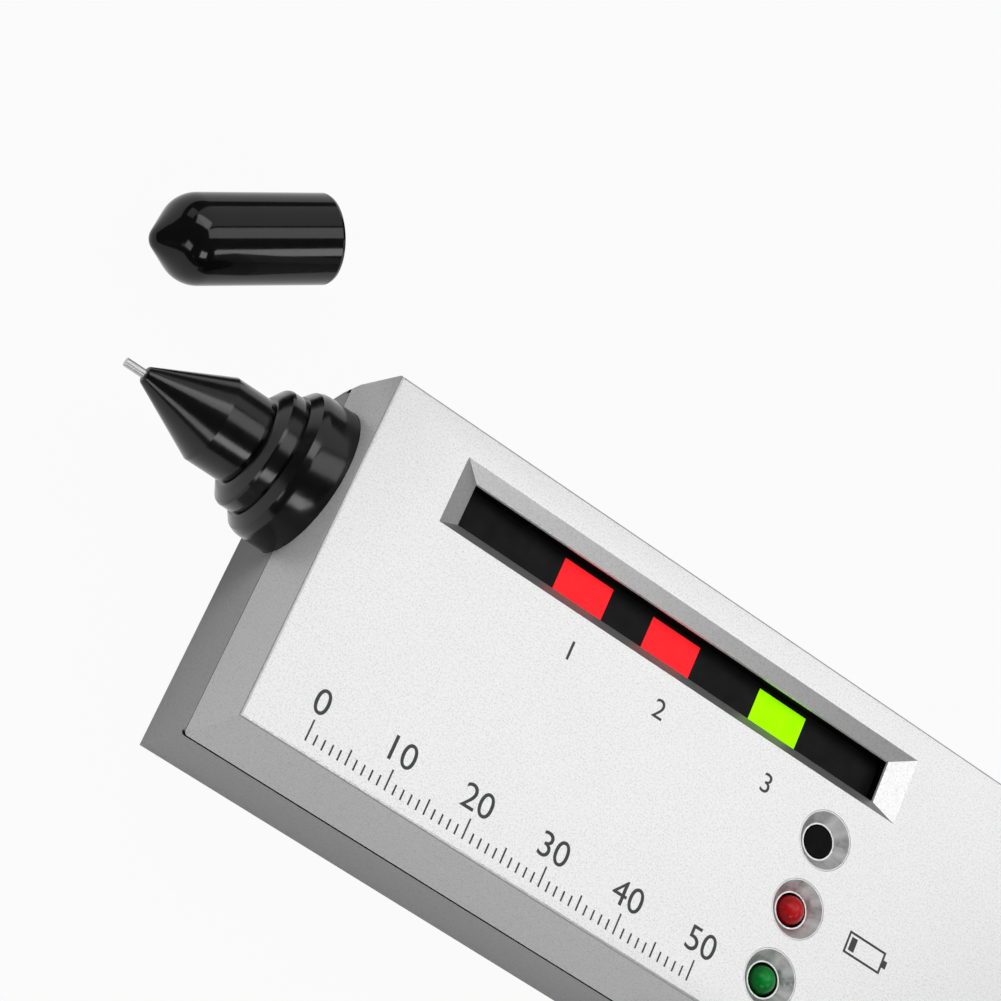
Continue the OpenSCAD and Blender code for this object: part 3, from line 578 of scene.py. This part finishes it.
def slanted_bar(start, end, width):
    """Corners of a bar of one width between two points on the face."""
    along = (end - start).normalized()
    side = Vector((-along.y, along.x)) * width / 2
    return [start - side, end - side, end + side, start + side]


def ready_sign(x, y):
    """Tick drawn with a short and a long stroke."""
    low = Vector((x + STROKE_FROM[0], y + STROKE_FROM[1]))
    bm = bmesh.new()
    for tip_x, tip_y in STROKE_TIPS:
        corners = slanted_bar(low, Vector((x + tip_x, y + tip_y)), STROKE_W)
        bottom = [bm.verts.new((*corner, FACE_Z - PRINT_T)) for corner in corners]
        top = [bm.verts.new((*corner, FACE_Z + PRINT_T)) for corner in corners]
        bm.faces.new(reversed(bottom))
        bm.faces.new(top)
        bridge(bm, bottom, top)
    return bm


ready_at = middle("ready_lamp")
printed(add_mesh("print_ready", ready_sign(ready_at.x + SIGN_GAP, ready_at.y)))


# Studio

def look_matrix(place, direction, up):
    """Matrix of a camera or a lamp at a place that looks along a direction."""
    back = -Vector(direction).normalized()
    right = Vector(up).cross(back).normalized()
    true_up = back.cross(right)
    return Matrix.Translation(place) @ Matrix((right, true_up, back)).transposed().to_4x4()


CAMERA_AT = Vector((-0.18383, -0.13718, 0.34503))
CAMERA_TO = Vector((0.34437, 0.40226, -0.84829))
CAMERA_UP = Vector((-0.525, 0.832, 0.181))
FOCAL_MM = 130.17
SENSOR_MM = 36

lens = bpy.data.cameras.new("camera")
lens.lens = FOCAL_MM
lens.sensor_width = SENSOR_MM
camera = add_object("camera", lens)
camera.matrix_world = look_matrix(CAMERA_AT, CAMERA_TO, CAMERA_UP)
bpy.context.scene.camera = camera


def softbox(name, place, across, length, breadth, radiance):
    """Area lamp facing the tester, its short side lying along one direction.

    Its power follows from the radiance wanted.
    """
    lamp = bpy.data.lights.new(name, "AREA")
    lamp.shape = "RECTANGLE"
    lamp.size = length
    lamp.size_y = breadth
    lamp.energy = radiance * math.pi * length * breadth
    obj = add_object(name, lamp)
    obj.matrix_world = look_matrix(Vector(place), -Vector(place), across)


ACROSS = (-0.66, 0.75, 0)
FAR = (0, 1, 0)
LEANING = (-0.22, 0.49, 0.84)
UPRIGHT = (0, 0, 1)
softbox("overhead_box", (0.35, 0.34, 1.0), ACROSS, length=1.25, breadth=0.45, radiance=2.45)
softbox("upper_left_box", (-0.53, 0.37, 1.0), FAR, length=0.86, breadth=0.49, radiance=3.1)
softbox("far_box", (-0.28, 0.88, 0.95), ACROSS, length=1.6, breadth=1.16, radiance=0.85)
softbox("tail_box", (0.72, -0.25, 0.64), (-0.63, 0.25, 0.74), length=0.35, breadth=0.28,
        radiance=4.8)
softbox("near_box", (0.19, -0.76, 0.59), LEANING, length=0.34, breadth=0.28, radiance=5.4)
softbox("near_left_box", (-0.62, -0.76, 0.38), LEANING, length=0.34, breadth=0.28, radiance=3.4)
softbox("left_box", (-0.8, 0.39, 0.34), UPRIGHT, length=0.36, breadth=0.3, radiance=0.9)
softbox("low_right_box", (0.9, 0.4, 0.24), UPRIGHT, length=0.4, breadth=0.3, radiance=0.8)

world = bpy.data.worlds.new("studio")
world.use_nodes = True
set_inputs(world.node_tree.nodes["Background"], Color=(0.06, 0.06, 0.061, 1))
bpy.context.scene.world = world
bpy.context.scene.view_settings.view_transform = "Standard"

FLOOR_HALF = 4.0
FLOOR_DROP = 0.02 * MM

# Share of plain white in what the camera and reflections see of the floor
FLOOR_WHITE = 0.95


def floor_material():
    """Pale floor, shown as white to the camera and in reflections, with a faint shadow kept."""
    mat, tree, shader, at = new_material("floor")
    set_inputs(shader, Roughness=0.9, Specular_IOR_Level=0.0)
    tint = mottle(tree, noise(tree, at, scale=40, detail=2), 0.28, 0.3)
    link_inputs(tree, shader, Base_Color=tint)
    white = tree.nodes.new("ShaderNodeEmission")
    path = tree.nodes.new("ShaderNodeLightPath")
    seen = path.outputs["Is Camera Ray"]
    for ray in ("Is Glossy Ray", "Is Transmission Ray"):
        either = tree.nodes.new("ShaderNodeMath")
        either.operation = "MAXIMUM"
        tree.links.new(seen, either.inputs[0])
        tree.links.new(path.outputs[ray], either.inputs[1])
        seen = either.outputs[0]
    mix = tree.nodes.new("ShaderNodeMixShader")
    link_inputs(tree, mix, Fac=levels(tree, seen, 0, 1, 0, FLOOR_WHITE))
    tree.links.new(shader.outputs["BSDF"], mix.inputs[1])
    tree.links.new(white.outputs["Emission"], mix.inputs[2])
    link_inputs(tree, tree.nodes["Material Output"], Surface=mix.outputs["Shader"])
    return mat


floor_mesh = bpy.data.meshes.new("floor")
corners = [(-FLOOR_HALF, -FLOOR_HALF, 0), (FLOOR_HALF, -FLOOR_HALF, 0),
           (FLOOR_HALF, FLOOR_HALF, 0), (-FLOOR_HALF, FLOOR_HALF, 0)]
floor_mesh.from_pydata(corners, [], [(0, 1, 2, 3)])
floor_mesh.materials.append(floor_material())
floor = add_object("floor", floor_mesh)
floor.location.z = -FLOOR_DROP
